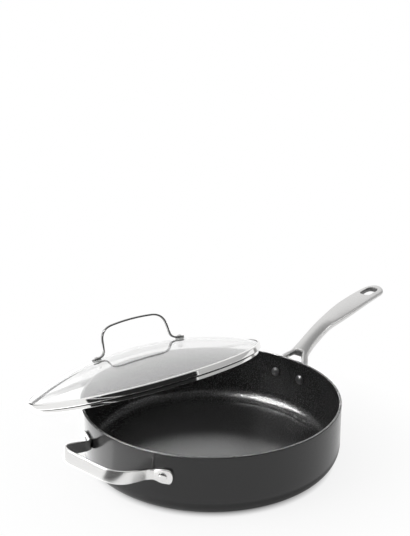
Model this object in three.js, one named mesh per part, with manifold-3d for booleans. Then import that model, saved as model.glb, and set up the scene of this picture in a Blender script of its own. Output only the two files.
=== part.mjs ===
// A deep straight-sided skillet with a forked long handle, a helper handle and a domed glass lid.
// The lid leans against the pan: its skirt stands on the table and lies across the pan's rim.
// Millimetres and degrees, +Z up. The origin is the centre of the flat base, +X runs along the long handle.
// On every pair, left is the +Y side and right is the -Y side of the handle that the pair belongs to.

import * as THREE from "three";
import { mergeVertices } from "three/addons/utils/BufferGeometryUtils.js";
import Module from "manifold-3d";

const wasm = await Module();
wasm.setup();

// Clearance between pieces that touch
const FIT_GAP = 0.3;

// Broken edge of every strap, as a share of its thickness
const STRAP_EDGE_SHARE = 0.25;

// Pan body
const PAN_RADIUS = 152;
const PAN_HEIGHT = 73;
const PAN_WALL = 3;
const PAN_FLOOR = 5;
const PAN_OUTER_CORNER = 18;
const PAN_INNER_CORNER_SHARE = 0.61;
const PAN_RIM_ROUND_SHARE = 0.4;

// Rivets that hold both pan handles
const RIVET_SHANK_RADIUS = 3.2;
const RIVET_INNER_HEAD_OVERHANG = 3;
const RIVET_INNER_HEAD_HEIGHT = 3.3;
const RIVET_OUTER_HEAD_OVERHANG = 1.6;
const RIVET_OUTER_HEAD_HEIGHT = 1.5;

// Long handle: the plate on the wall, the two arms of the fork and the grip
const HANDLE_RIVET_SPACING = 39;
const HANDLE_RIVET_DROP = 23;
const HANDLE_PLATE = 3.5;
const HANDLE_PLATE_BESIDE_RIVET = 10.5;
const HANDLE_PLATE_BELOW_RIVET = 10;
const HANDLE_PLATE_ABOVE_RIVET = 16;
const HANDLE_PLATE_CORNER = 7;
const ARM_WIDTH = 9.5;
const ARM_DEPTH = 8;
const ARM_FOOT_BESIDE_RIVET = 1.3;
const ARM_FOOT_ABOVE_RIVET = 11;
const ARM_BELLY_SPREAD_SHARE = 0.55;
const ARM_BELLY_LEVEL_SHARE = 0.62;
const ARM_IN_GRIP = 8;
const GRIP_CROWN = 2.4;
const GRIP_BEVEL = 1.5;
const GRIP_ROOT_DEPTH = 10.5;
const GRIP_TIP_DEPTH = 7;
const GRIP_END_ROUND = 14;
const GRIP_REACH = 200;
const GRIP_RISE = 48.8;
const GRIP_WIDTH = 33;
// Stations of the grip from its root to its tip, as shares of its reach beyond the wall, its crown's rise
// above the rim, and its width
const GRIP_SHARES = [
  { reach: 0.095, rise: 0.127, width: 0.818 },
  { reach: 0.165, rise: 0.287, width: 0.697 },
  { reach: 0.265, rise: 0.484, width: 0.685 },
  { reach: 0.365, rise: 0.635, width: 0.721 },
  { reach: 0.465, rise: 0.717, width: 0.861 },
  { reach: 0.615, rise: 0.832, width: 0.994 },
  { reach: 0.79, rise: 0.926, width: 1 },
  { reach: 1, rise: 1, width: 0.939 },
];
const SLOT_LENGTH = 27;
const SLOT_WIDTH = 15;
const SLOT_CORNER = 5.5;
const SLOT_END_MARGIN = 11.5;

// Helper handle: a strap that stands off the wall on two feet and tilts up towards its bar
const HELPER_RIVET_SPACING = 118;
const HELPER_RIVET_DROP = 24.5;
const HELPER_STRAP = 3.2;
const HELPER_BAR_HEIGHT = 14.5;
const HELPER_NECK_HEIGHT = 12.2;
const HELPER_FOOT_HEIGHT = 16.8;
const HELPER_FOOT_LENGTH = 22;
const HELPER_FOOT_ROUND = 4.5;
const HELPER_REACH = 38.5;
const HELPER_LEG_INSET = 3.2;
const HELPER_LEG_TAPER = 3.2;
const HELPER_CORNER = 12;
const HELPER_HEEL = 6;
const HELPER_HEEL_ROUND = 4.5;
const HELPER_TILT = 14;

// Lid band and glass
const SKIRT_CLEARANCE = 2.5;
const SKIRT_DEPTH = 5.5;
const BAND_SHEET = 1;
const BAND_LIP = 1.5;
const BAND_INSET = 1;
const GLASS_THICKNESS = 4;
const GLASS_RISE = 31.5;

// Lid handle and the fastenings that clamp its feet to the glass
const LID_SCREW_RADIUS = 54.6;
const LID_STRAP = 1.8;
const LID_STRAP_WIDTH = 8;
const LID_FOOT_WIDTH = 12;
const LID_HEEL_INSET = 11.1;
const LID_HANDLE_RISE = 39.3;
const LID_SHOULDER_DROP = 4.5;
const LID_LEG_LEAN = 3;
const LID_CROWN_ROUND = 24;
const LID_SHOULDER_ROUND = 15;
const LID_HEEL_ROUND = 7;
const SCREW_RADIUS = 2;
const SCREW_HEAD_OVERHANG = 1.1;
const SCREW_HEAD_HEIGHT = 2;
const SCREW_IN_NUT = 3;
const WASHER_WIDTH = 3.4;
const WASHER_THICKNESS = 1.2;
const SLEEVE_WALL = 0.9;
const SLEEVE_FLANGE_WIDTH = 2.7;
const SLEEVE_FLANGE = 1.1;
const SLEEVE_TOP_SINK = 0.6;
const PLATE_WIDTH = 2.8;
const PLATE_THICKNESS = 0.9;
const NUT_WALL = 1.8;
const NUT_HEIGHT = 5;

// Lean of the lid: direction of its centre from the pan's axis, how far up the lid from its centre
// the rim crosses it, and turn of its handle
const LID_AZIMUTH = 84.3;
const LID_CROSSING_OFFSET = 55.1;
const LID_HANDLE_TURN = 64.2;

// Facets of round pieces, of curves and of rounded corners
const PAN_SEGMENTS = 72;
const WALL_SEGMENTS = 144;
const LID_SEGMENTS = 60;
const SMALL_SEGMENTS = 14;
const ARM_SEGMENTS = 10;
const NUT_SIDES = 6;
const PAN_CORNER_STEPS = 7;
const CORNER_STEPS = 6;
const SMALL_CORNER_STEPS = 4;
const RIM_STEPS = 2;
const DOME_STEPS = 4;
const GLASS_STEPS = 8;
const CROWN_STEPS = 6;
const GRIP_STEPS = 22;
const ARM_STEPS = 9;
// Shares of a round end at which it is cut into sections, closer together towards its tip
const END_SHARES = [0.04, 0.16, 0.36, 0.64, 1];
// Vertices nearer to each other than this are one vertex
const WELD = 1e-4;

const radians = THREE.MathUtils.degToRad;
const point = (x, y, z) => new THREE.Vector3(x, y, z);

// Closed solid of a geometry, whichever way its faces wind
function solidOf(geometry) {
  const bare = new THREE.BufferGeometry();
  bare.setAttribute("position", geometry.getAttribute("position"));
  bare.setIndex(geometry.getIndex());
  const welded = mergeVertices(bare, WELD);
  const places = welded.getAttribute("position");
  const corners = welded.getIndex().array;
  const a = point();
  const b = point();
  const c = point();
  const triangles = [];
  let volume = 0;
  for (let i = 0; i < corners.length; i += 3) {
    const [p, q, r] = corners.subarray(i, i + 3);
    if (p === q || q === r || r === p) continue;
    triangles.push(p, q, r);
    a.fromBufferAttribute(places, p);
    b.fromBufferAttribute(places, q);
    c.fromBufferAttribute(places, r);
    volume += a.dot(b.cross(c));
  }
  if (volume < 0) triangles.reverse();
  const vertProperties = new Float32Array(places.array);
  const triVerts = new Uint32Array(triangles);
  return new wasm.Manifold(new wasm.Mesh({ numProp: 3, vertProperties, triVerts }));
}

// Named mesh of a solid
function meshOf(name, solid, material) {
  const { vertProperties, triVerts } = solid.getMesh();
  const geometry = new THREE.BufferGeometry();
  geometry.setAttribute("position", new THREE.BufferAttribute(vertProperties, 3));
  geometry.setIndex(new THREE.BufferAttribute(triVerts, 1));
  geometry.computeVertexNormals();
  const mesh = new THREE.Mesh(geometry, material);
  mesh.name = name;
  return mesh;
}

// Solid of revolution about Z from a profile of [radius, height] pairs
function turned(profile, segments) {
  const points = profile.map(([radius, height]) => new THREE.Vector2(radius, height));
  return new THREE.LatheGeometry(points, segments).rotateX(Math.PI / 2);
}

// Points of an arc, as [x, y] pairs
function arc(x, y, radius, startAngle, endAngle, steps, rise = radius) {
  const points = [];
  for (let i = 0; i <= steps; i += 1) {
    const angle = radians(startAngle + ((endAngle - startAngle) * i) / steps);
    points.push([x + radius * Math.cos(angle), y + rise * Math.sin(angle)]);
  }
  return points;
}

// Outline of a rectangle with round corners, as [x, y] pairs
function roundedOutline(left, right, low, high, corner) {
  const quarter = (x, y, startAngle) => arc(x, y, corner, startAngle, startAngle + 90, SMALL_CORNER_STEPS);
  return [
    ...quarter(right - corner, low + corner, -90),
    ...quarter(right - corner, high - corner, 0),
    ...quarter(left + corner, high - corner, 90),
    ...quarter(left + corner, low + corner, 180),
  ];
}

// Quarter of an ellipse from the edge of a low dome to its crown, as [radius, height] pairs
function domeProfile(radius, base, height) {
  return arc(0, 0, 1, 0, 90, DOME_STEPS).map(([r, h]) => [Math.max(radius * r, 0), base + height * h]);
}

// Plain cylinder along Z
function rod(radius, bottom, top, segments = SMALL_SEGMENTS) {
  return turned([[0, bottom], [radius, bottom], [radius, top], [0, top]], segments);
}

// Closed ring along Z
function tube(inner, outer, bottom, top, segments = SMALL_SEGMENTS) {
  const profile = [[inner, bottom], [outer, bottom], [outer, top], [inner, top], [inner, bottom]];
  return turned(profile, segments);
}

// Closed body through a row of rings that have the same number of points
function loft(rings) {
  const count = rings[0].length;
  const positions = [];
  const triangle = (...corners) => corners.forEach((corner) => positions.push(corner.x, corner.y, corner.z));
  for (let k = 0; k + 1 < rings.length; k += 1) {
    for (let i = 0; i < count; i += 1) {
      const j = (i + 1) % count;
      triangle(rings[k][i], rings[k][j], rings[k + 1][j]);
      triangle(rings[k][i], rings[k + 1][j], rings[k + 1][i]);
    }
  }
  const first = rings[0];
  const last = rings[rings.length - 1];
  for (let i = 1; i + 1 < count; i += 1) {
    triangle(first[0], first[i + 1], first[i]);
    triangle(last[0], last[i], last[i + 1]);
  }
  const geometry = new THREE.BufferGeometry();
  geometry.setAttribute("position", new THREE.Float32BufferAttribute(positions, 3));
  return geometry;
}

// Path through corners, each inner corner rounded by a curve that starts and ends at its own distance
function roundedPath(corners, distances) {
  const path = [corners[0]];
  for (let i = 1; i + 1 < corners.length; i += 1) {
    const before = corners[i - 1].clone().sub(corners[i]).setLength(distances[i - 1]).add(corners[i]);
    const after = corners[i + 1].clone().sub(corners[i]).setLength(distances[i - 1]).add(corners[i]);
    path.push(...new THREE.QuadraticBezierCurve3(before, corners[i], after).getPoints(CORNER_STEPS));
  }
  path.push(corners[corners.length - 1]);
  return path;
}

// Path with extra points near both ends, where a strap's round ends need them
function withEndPoints(path, length) {
  const head = path[0];
  const onward = path[1].clone().sub(head);
  const start = END_SHARES.map((share) => onward.clone().setLength(length * share).add(head));
  const tail = path[path.length - 1];
  const inward = path[path.length - 2].clone().sub(tail);
  const end = END_SHARES.map((share) => inward.clone().setLength(length * share).add(tail)).reverse();
  return [...start, ...path.slice(1, -1), ...end];
}

// Strap along a path: width and width direction at each point come from the caller
function strap(path, thickness, widthAt, acrossAt) {
  const edge = STRAP_EDGE_SHARE * thickness;
  const rings = path.map((place, i) => {
    const ahead = path[Math.min(i + 1, path.length - 1)];
    const behind = path[Math.max(i - 1, 0)];
    const along = ahead.clone().sub(behind).normalize();
    const face = along.clone().cross(acrossAt(place)).normalize();
    const across = face.clone().cross(along);
    const half = widthAt(i) / 2;
    const rim = Math.min(edge, half / 2);
    const outline = [
      [half, rim - thickness / 2],
      [half, thickness / 2 - rim],
      [half - rim, thickness / 2],
      [rim - half, thickness / 2],
      [-half, thickness / 2 - rim],
      [-half, rim - thickness / 2],
      [rim - half, -thickness / 2],
      [half - rim, -thickness / 2],
    ];
    return outline.map(([w, t]) => place.clone().addScaledVector(across, w).addScaledVector(face, t));
  });
  return loft(rings);
}

// Distance along a path from its first point to each point
function lengthsAlong(path) {
  const lengths = [0];
  for (let i = 1; i < path.length; i += 1) lengths.push(lengths[i - 1] + path[i].distanceTo(path[i - 1]));
  return lengths;
}

// Width of a strap's round end at a distance from that end
function roundEndWidth(distance, endLength, width) {
  if (distance >= endLength) return width;
  return width * Math.sqrt(1 - (1 - distance / endLength) ** 2);
}

// Smooth step from 0 to 1
const ease = (value) => THREE.MathUtils.smoothstep(value, 0, 1);

// Frame at a height on the pan's axis whose Z axis points outwards at an angle from +X
function radialFrame(angle, height) {
  const turn = new THREE.Matrix4().makeRotationZ(radians(angle));
  const lay = new THREE.Matrix4().makeRotationY(Math.PI / 2);
  return new THREE.Matrix4().makeTranslation(0, 0, height).multiply(turn).multiply(lay);
}

// Materials
function finish(color, metalness, roughness) {
  return new THREE.MeshStandardMaterial({ color, metalness, roughness });
}
const ANODISED = finish(0x3a3a3c, 0.6, 0.35);
const COATED_RIVET = finish(0x1c1c1d, 0.2, 0.4);
const SATIN_STEEL = finish(0xc9c9c7, 1, 0.38);
const POLISHED_STEEL = finish(0xd8d8d6, 1, 0.15);
const SILICONE = finish(0xd9dad6, 0, 0.6);
const GLASS = new THREE.MeshStandardMaterial({
  color: 0xdfe8e4,
  metalness: 0,
  roughness: 0.05,
  transparent: true,
  opacity: 0.35,
});

// Places of the rivets: two for each handle, the left one first
const panInnerRadius = PAN_RADIUS - PAN_WALL;
const wallSeatRadius = PAN_RADIUS + FIT_GAP;
const angleOfSpacing = (spacing) => THREE.MathUtils.radToDeg(Math.asin(spacing / 2 / PAN_RADIUS));
const handleRivetAngle = angleOfSpacing(HANDLE_RIVET_SPACING);
const helperRivetAngle = angleOfSpacing(HELPER_RIVET_SPACING);
const handleRivetHeight = PAN_HEIGHT - HANDLE_RIVET_DROP;
const helperRivetHeight = PAN_HEIGHT - HELPER_RIVET_DROP;
const atHandle = { height: handleRivetHeight, grip: HANDLE_PLATE, material: COATED_RIVET };
const atHelper = { height: helperRivetHeight, grip: HELPER_STRAP, material: POLISHED_STEEL };
const handleRivets = [
  { name: "handle_rivet_left", angle: handleRivetAngle, ...atHandle },
  { name: "handle_rivet_right", angle: -handleRivetAngle, ...atHandle },
];
const helperRivets = [
  { name: "helper_rivet_left", angle: 180 - helperRivetAngle, ...atHelper },
  { name: "helper_rivet_right", angle: 180 + helperRivetAngle, ...atHelper },
];
const rivets = [...handleRivets, ...helperRivets];

// Hole for one rivet through the wall and whatever is riveted to it
function rivetHole({ angle, height, grip }) {
  const radius = RIVET_SHANK_RADIUS + FIT_GAP;
  const hole = rod(radius, panInnerRadius - PAN_WALL, wallSeatRadius + 2 * grip);
  return solidOf(hole.applyMatrix4(radialFrame(angle, height)));
}

// Pan: flat base, round corner, straight wall with a rounded rim, and the hollow inside
function makePan() {
  const cornerRise = PAN_OUTER_CORNER - PAN_FLOOR;
  const cornerRun = PAN_INNER_CORNER_SHARE * cornerRise;
  const rimRound = PAN_RIM_ROUND_SHARE * PAN_WALL;
  const rimCentre = PAN_HEIGHT - rimRound;
  const profile = [
    [0, 0],
    ...arc(PAN_RADIUS - PAN_OUTER_CORNER, PAN_OUTER_CORNER, PAN_OUTER_CORNER, -90, 0, PAN_CORNER_STEPS),
    ...arc(PAN_RADIUS - rimRound, rimCentre, rimRound, 0, 90, RIM_STEPS),
    ...arc(panInnerRadius + rimRound, rimCentre, rimRound, 90, 180, RIM_STEPS),
    ...arc(panInnerRadius - cornerRun, PAN_OUTER_CORNER, cornerRun, 0, -90, PAN_CORNER_STEPS, cornerRise),
    [0, PAN_FLOOR],
  ];
  let pan = solidOf(turned(profile, PAN_SEGMENTS));
  for (const rivet of rivets) pan = pan.subtract(rivetHole(rivet));
  return meshOf("pan_body", pan, ANODISED);
}

// Rivet: domed head inside the pan, shank, and a low head on the handle
function makeRivet({ name, angle, height, grip, material }) {
  const innerHeadRadius = RIVET_SHANK_RADIUS + RIVET_INNER_HEAD_OVERHANG;
  const outerHeadRadius = RIVET_SHANK_RADIUS + RIVET_OUTER_HEAD_OVERHANG;
  const innerSeat = Math.sqrt(panInnerRadius ** 2 - innerHeadRadius ** 2) - FIT_GAP;
  const outerSeat = wallSeatRadius + grip + FIT_GAP;
  const innerHead = domeProfile(innerHeadRadius, innerSeat, -RIVET_INNER_HEAD_HEIGHT).reverse();
  const outerHead = domeProfile(outerHeadRadius, outerSeat, RIVET_OUTER_HEAD_HEIGHT);
  const profile = [
    ...innerHead,
    [RIVET_SHANK_RADIUS, innerSeat],
    [RIVET_SHANK_RADIUS, outerSeat],
    ...outerHead,
  ];
  const rivet = meshOf(name, solidOf(turned(profile, SMALL_SEGMENTS)), material);
  rivet.applyMatrix4(radialFrame(angle, height));
  return rivet;
}

// Plate of the long handle: a block with round corners, bent to the wall by cutting it from a ring
function handlePlate() {
  const half = HANDLE_RIVET_SPACING / 2 + HANDLE_PLATE_BESIDE_RIVET;
  const low = handleRivetHeight - HANDLE_PLATE_BELOW_RIVET;
  const high = handleRivetHeight + HANDLE_PLATE_ABOVE_RIVET;
  const outline = roundedOutline(-half, half, low, high, HANDLE_PLATE_CORNER);
  const nearSide = outline.map(([y, z]) => point(0, y, z));
  const farSide = outline.map(([y, z]) => point(2 * PAN_RADIUS, y, z));
  const ring = tube(wallSeatRadius, wallSeatRadius + HANDLE_PLATE, 0, PAN_HEIGHT, WALL_SEGMENTS);
  return solidOf(loft([nearSide, farSide])).intersect(solidOf(ring));
}

// Curve through the grip's stations, as reach, rise and width
const gripStations = GRIP_SHARES.map((share) => ({
  reach: share.reach * GRIP_REACH,
  rise: share.rise * GRIP_RISE,
  width: share.width * GRIP_WIDTH,
}));
const gripCurve = new THREE.CatmullRomCurve3(
  gripStations.map(({ reach, rise, width }) => point(reach, rise, width)),
);
const gripRoot = gripStations[0];
const gripTip = gripStations[gripStations.length - 1];

// Depth of the grip at a reach
function gripDepth(reach) {
  const share = (reach - gripRoot.reach) / (gripTip.reach - gripRoot.reach);
  return THREE.MathUtils.lerp(GRIP_ROOT_DEPTH, GRIP_TIP_DEPTH, share);
}

// Section of the grip: crowned top, bevelled edges, upright sides and a flat underside
function gripRing({ x: reach, y: rise, z: width }) {
  const half = roundEndWidth(gripTip.reach - reach, GRIP_END_ROUND, width) / 2;
  const bevel = Math.min(GRIP_BEVEL, half / 2);
  const flat = half - bevel;
  const top = PAN_HEIGHT + rise;
  const outline = [];
  for (let i = 0; i <= CROWN_STEPS; i += 1) {
    const spread = flat * ((2 * i) / CROWN_STEPS - 1);
    outline.push([spread, top - GRIP_CROWN * (spread / (width / 2)) ** 2]);
  }
  const shoulder = top - GRIP_CROWN - bevel;
  const bottom = top - gripDepth(reach);
  outline.push([half, shoulder], [half, bottom + bevel], [flat, bottom]);
  outline.push([-flat, bottom], [-half, bottom + bevel], [-half, shoulder]);
  return outline.map(([y, z]) => point(PAN_RADIUS + reach, y, z));
}

// Grip: a loft through its sections, closer together towards the round end
function grip() {
  const endShare = GRIP_END_ROUND / gripCurve.getLength();
  const shares = [];
  for (let i = 0; i < GRIP_STEPS; i += 1) shares.push(((1 - endShare) * i) / GRIP_STEPS);
  const endShares = END_SHARES.map((share) => 1 - endShare * share).reverse();
  return solidOf(loft([...shares, ...endShares].map((share) => gripRing(gripCurve.getPointAt(share)))));
}

// One arm of the fork: from inside the grip's root down to the plate, on the side given by its sign
function forkArm(side) {
  const rootReach = gripRoot.reach;
  const rootLevel = PAN_HEIGHT + gripRoot.rise - gripDepth(rootReach) / 2;
  const rootSpread = (gripRoot.width - ARM_WIDTH) / 2;
  const footSpread = HANDLE_RIVET_SPACING / 2 + ARM_FOOT_BESIDE_RIVET;
  const footLevel = handleRivetHeight + ARM_FOOT_ABOVE_RIVET;
  const footReach = FIT_GAP + HANDLE_PLATE / 2;
  const curve = new THREE.CatmullRomCurve3([
    point(PAN_RADIUS + rootReach + ARM_IN_GRIP, side * (rootSpread - GRIP_BEVEL), rootLevel + ARM_IN_GRIP / 2),
    point(PAN_RADIUS + rootReach, side * rootSpread, rootLevel),
    point(
      PAN_RADIUS + (rootReach + footReach) / 2,
      side * (rootSpread + (footSpread - rootSpread) * ARM_BELLY_SPREAD_SHARE),
      footLevel + (rootLevel - footLevel) * ARM_BELLY_LEVEL_SHARE,
    ),
    point(Math.sqrt(PAN_RADIUS ** 2 - footSpread ** 2) + footReach, side * footSpread, footLevel),
  ]);
  const rings = [];
  for (let i = 0; i <= ARM_STEPS; i += 1) {
    const place = curve.getPointAt(i / ARM_STEPS);
    const along = curve.getTangentAt(i / ARM_STEPS);
    const upward = point(0, 0, 1).addScaledVector(along, -along.z).normalize();
    const across = upward.clone().cross(along);
    const outline = [];
    for (let k = 0; k < ARM_SEGMENTS; k += 1) {
      const angle = (2 * Math.PI * (k + 0.5)) / ARM_SEGMENTS;
      const w = (ARM_WIDTH / 2) * Math.cos(angle);
      const d = (ARM_DEPTH / 2) * Math.sin(angle);
      outline.push(place.clone().addScaledVector(across, w).addScaledVector(upward, d));
    }
    rings.push(outline);
  }
  return solidOf(loft(rings));
}

// Hanging slot: a round-cornered opening through the grip near its tip
function hangingSlot() {
  const end = PAN_RADIUS + gripTip.reach - SLOT_END_MARGIN;
  const half = SLOT_WIDTH / 2;
  const outline = roundedOutline(end - SLOT_LENGTH, end, -half, half, SLOT_CORNER);
  const below = outline.map(([x, y]) => point(x, y, 0));
  const above = outline.map(([x, y]) => point(x, y, 2 * (PAN_HEIGHT + gripTip.rise)));
  return solidOf(loft([below, above]));
}

// Long handle: plate, fork and grip in one casting, with its holes
function makeLongHandle() {
  const wall = solidOf(rod(wallSeatRadius, 0, 2 * PAN_HEIGHT, WALL_SEGMENTS));
  let handle = handlePlate().add(grip()).add(forkArm(1)).add(forkArm(-1));
  handle = handle.subtract(wall).subtract(hangingSlot());
  for (const rivet of handleRivets) handle = handle.subtract(rivetHole(rivet));
  return meshOf("long_handle", handle, SATIN_STEEL);
}

// Helper handle: feet along the wall, legs that lean out and up, and a bar between round corners
function makeHelperHandle() {
  const footRadius = wallSeatRadius + HELPER_STRAP / 2;
  const footHalfAngle = THREE.MathUtils.radToDeg(HELPER_FOOT_LENGTH / 2 / footRadius);
  const outerAngle = helperRivetAngle + footHalfAngle;
  const innerAngle = helperRivetAngle - footHalfAngle;
  const footPath = arc(0, 0, footRadius, outerAngle, innerAngle, CORNER_STEPS);
  const [heelReach, heelSpread] = footPath[footPath.length - 1];
  const legSpread = heelSpread - HELPER_LEG_INSET;
  const slope = Math.tan(radians(HELPER_TILT));
  const barReach = PAN_RADIUS + HELPER_REACH - HELPER_STRAP / 2;
  const level = (reach) => helperRivetHeight + Math.max(reach - heelReach, 0) * slope;
  const place = ([reach, spread]) => point(-reach, spread, level(reach));
  const foot = footPath.map(place);
  const heel = foot[foot.length - 1];
  const legStart = place([heelReach + HELPER_HEEL, legSpread]);
  const corner = place([barReach, legSpread - HELPER_LEG_TAPER]);
  const mirror = (p) => point(p.x, -p.y, p.z);
  const bend = roundedPath(
    [heel, legStart, corner, mirror(corner), mirror(legStart), mirror(heel)],
    [HELPER_HEEL_ROUND, HELPER_CORNER, HELPER_CORNER, HELPER_HEEL_ROUND],
  );
  const farFoot = foot.map(mirror).reverse();
  const path = withEndPoints([...foot.slice(0, -1), ...bend, ...farFoot.slice(1)], HELPER_FOOT_ROUND / 2);
  const lengths = lengthsAlong(path);
  const total = lengths[lengths.length - 1];
  const widthAt = (i) => {
    const fromEnd = Math.min(lengths[i], total - lengths[i]);
    const toNeck = ease((fromEnd - HELPER_FOOT_LENGTH / 2) / (HELPER_FOOT_LENGTH / 2));
    const toBar = ease((fromEnd - HELPER_FOOT_LENGTH) / HELPER_REACH);
    const footWidth = roundEndWidth(fromEnd, HELPER_FOOT_ROUND, HELPER_FOOT_HEIGHT);
    const neck = THREE.MathUtils.lerp(footWidth, HELPER_NECK_HEIGHT, toNeck);
    return THREE.MathUtils.lerp(neck, HELPER_BAR_HEIGHT, toBar);
  };
  const acrossAt = (p) => {
    const lean = ease((-p.x - heelReach) / HELPER_HEEL) * radians(HELPER_TILT);
    return point(Math.sin(lean), 0, Math.cos(lean));
  };
  let handle = solidOf(strap(path, HELPER_STRAP, widthAt, acrossAt));
  for (const rivet of helperRivets) handle = handle.subtract(rivetHole(rivet));
  return meshOf("helper_handle", handle, POLISHED_STEEL);
}

// Dome of the glass, in the lid's frame: Z up the lid's axis, zero at the lower edge of the skirt
const skirtRadius = panInnerRadius - SKIRT_CLEARANCE;
const skirtInnerRadius = skirtRadius - BAND_SHEET;
const bandRadius = PAN_RADIUS - BAND_INSET;
const grooveRadius = bandRadius - BAND_SHEET;
const glassRadius = grooveRadius - FIT_GAP;
const domeRadius = (glassRadius ** 2 + GLASS_RISE ** 2) / (2 * GLASS_RISE);
const domeInnerRadius = domeRadius - GLASS_THICKNESS;
const glassSeat = SKIRT_DEPTH + BAND_SHEET + FIT_GAP;
const domeCentre = glassSeat - Math.sqrt(domeInnerRadius ** 2 - glassRadius ** 2);
const glassTop = (radius) => domeCentre + Math.sqrt(domeRadius ** 2 - radius ** 2);
const glassUnderside = (radius) => domeCentre + Math.sqrt(domeInnerRadius ** 2 - radius ** 2);

// Places on the dome for the two feet: the side along the lid handle and the tilt of the glass there
const footTilt = THREE.MathUtils.radToDeg(Math.asin(LID_SCREW_RADIUS / domeRadius));
const feet = [
  { suffix: "left", side: 1 },
  { suffix: "right", side: -1 },
];

// Frame on the glass under a foot: Z along the screw, zero on the upper face of the glass
function footFrame(side) {
  const shift = new THREE.Matrix4().makeTranslation(side * LID_SCREW_RADIUS, 0, glassTop(LID_SCREW_RADIUS));
  return shift.multiply(new THREE.Matrix4().makeRotationY(radians(side * footTilt)));
}

// Levels along a screw, down from the screw's head to the nut
const washerBottom = FIT_GAP;
const strapBottom = washerBottom + WASHER_THICKNESS + FIT_GAP;
const headSeat = strapBottom + LID_STRAP + FIT_GAP;
const flangeTop = -GLASS_THICKNESS - FIT_GAP;
const plateTop = flangeTop - SLEEVE_FLANGE - FIT_GAP;
const nutTop = plateTop - PLATE_THICKNESS - FIT_GAP;
const screwHole = SCREW_RADIUS + FIT_GAP;
const sleeveRadius = screwHole + SLEEVE_WALL;
const glassHole = sleeveRadius + FIT_GAP;

// Glass: a dome of even thickness with two drilled holes
function makeLidGlass() {
  const top = [];
  const underside = [];
  for (let i = 0; i <= GLASS_STEPS; i += 1) {
    const radius = (glassRadius * i) / GLASS_STEPS;
    top.push([radius, glassTop(radius)]);
    underside.push([radius, glassUnderside(radius)]);
  }
  let glass = solidOf(turned([...underside, ...top.reverse()], LID_SEGMENTS));
  for (const { side } of feet) {
    const hole = rod(glassHole, -2 * GLASS_THICKNESS, GLASS_THICKNESS).applyMatrix4(footFrame(side));
    glass = glass.subtract(solidOf(hole));
  }
  return meshOf("lid_glass", glass, GLASS);
}

// Band: the skirt, the ledge under the glass and the hem rolled over its edge
function makeLidRim() {
  const lip = glassRadius - BAND_LIP;
  const hemTop = glassTop(glassRadius) + FIT_GAP;
  const profile = [
    [skirtInnerRadius, 0],
    [skirtRadius, 0],
    [skirtRadius, SKIRT_DEPTH],
    [grooveRadius, SKIRT_DEPTH],
    [bandRadius, SKIRT_DEPTH + BAND_SHEET / 2],
    [bandRadius, hemTop],
    [grooveRadius, hemTop + BAND_SHEET],
    [lip, glassTop(lip) + FIT_GAP + BAND_SHEET],
    [lip, glassTop(lip) + FIT_GAP],
    [grooveRadius, hemTop],
    [grooveRadius, glassSeat - FIT_GAP],
    [skirtInnerRadius, glassUnderside(skirtInnerRadius) - FIT_GAP],
    [skirtInnerRadius, 0],
  ];
  return meshOf("lid_rim", solidOf(turned(profile, LID_SEGMENTS)), POLISHED_STEEL);
}

// Lid handle: feet that lie along the glass, legs that lean in, and an arched bar between round shoulders
function makeLidHandle() {
  const onFoot = (side, along) => point(along, 0, strapBottom + LID_STRAP / 2).applyMatrix4(footFrame(side));
  const footEnd = LID_FOOT_WIDTH / 2;
  const crownLevel = onFoot(1, 0).z + LID_HANDLE_RISE;
  const shoulder = LID_SCREW_RADIUS - LID_HEEL_INSET - LID_LEG_LEAN;
  const shoulderLevel = crownLevel - LID_SHOULDER_DROP;
  const path = withEndPoints(
    roundedPath(
      [
        onFoot(1, footEnd),
        onFoot(1, -LID_HEEL_INSET),
        point(shoulder, 0, shoulderLevel),
        point(0, 0, crownLevel),
        point(-shoulder, 0, shoulderLevel),
        onFoot(-1, LID_HEEL_INSET),
        onFoot(-1, -footEnd),
      ],
      [LID_HEEL_ROUND, LID_SHOULDER_ROUND, LID_CROWN_ROUND, LID_SHOULDER_ROUND, LID_HEEL_ROUND],
    ),
    footEnd,
  );
  const lengths = lengthsAlong(path);
  const total = lengths[lengths.length - 1];
  const widthAt = (i) => {
    const fromEnd = Math.min(lengths[i], total - lengths[i]);
    const toLeg = ease((fromEnd - LID_FOOT_WIDTH) / LID_FOOT_WIDTH);
    const footWidth = roundEndWidth(fromEnd, footEnd, LID_FOOT_WIDTH);
    return THREE.MathUtils.lerp(footWidth, LID_STRAP_WIDTH, toLeg);
  };
  let handle = solidOf(strap(path, LID_STRAP, widthAt, () => point(0, 1, 0)));
  for (const { side } of feet) {
    const hole = rod(screwHole, strapBottom - FIT_GAP, headSeat).applyMatrix4(footFrame(side));
    handle = handle.subtract(solidOf(hole));
  }
  return meshOf("lid_handle", handle, SATIN_STEEL);
}

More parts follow.
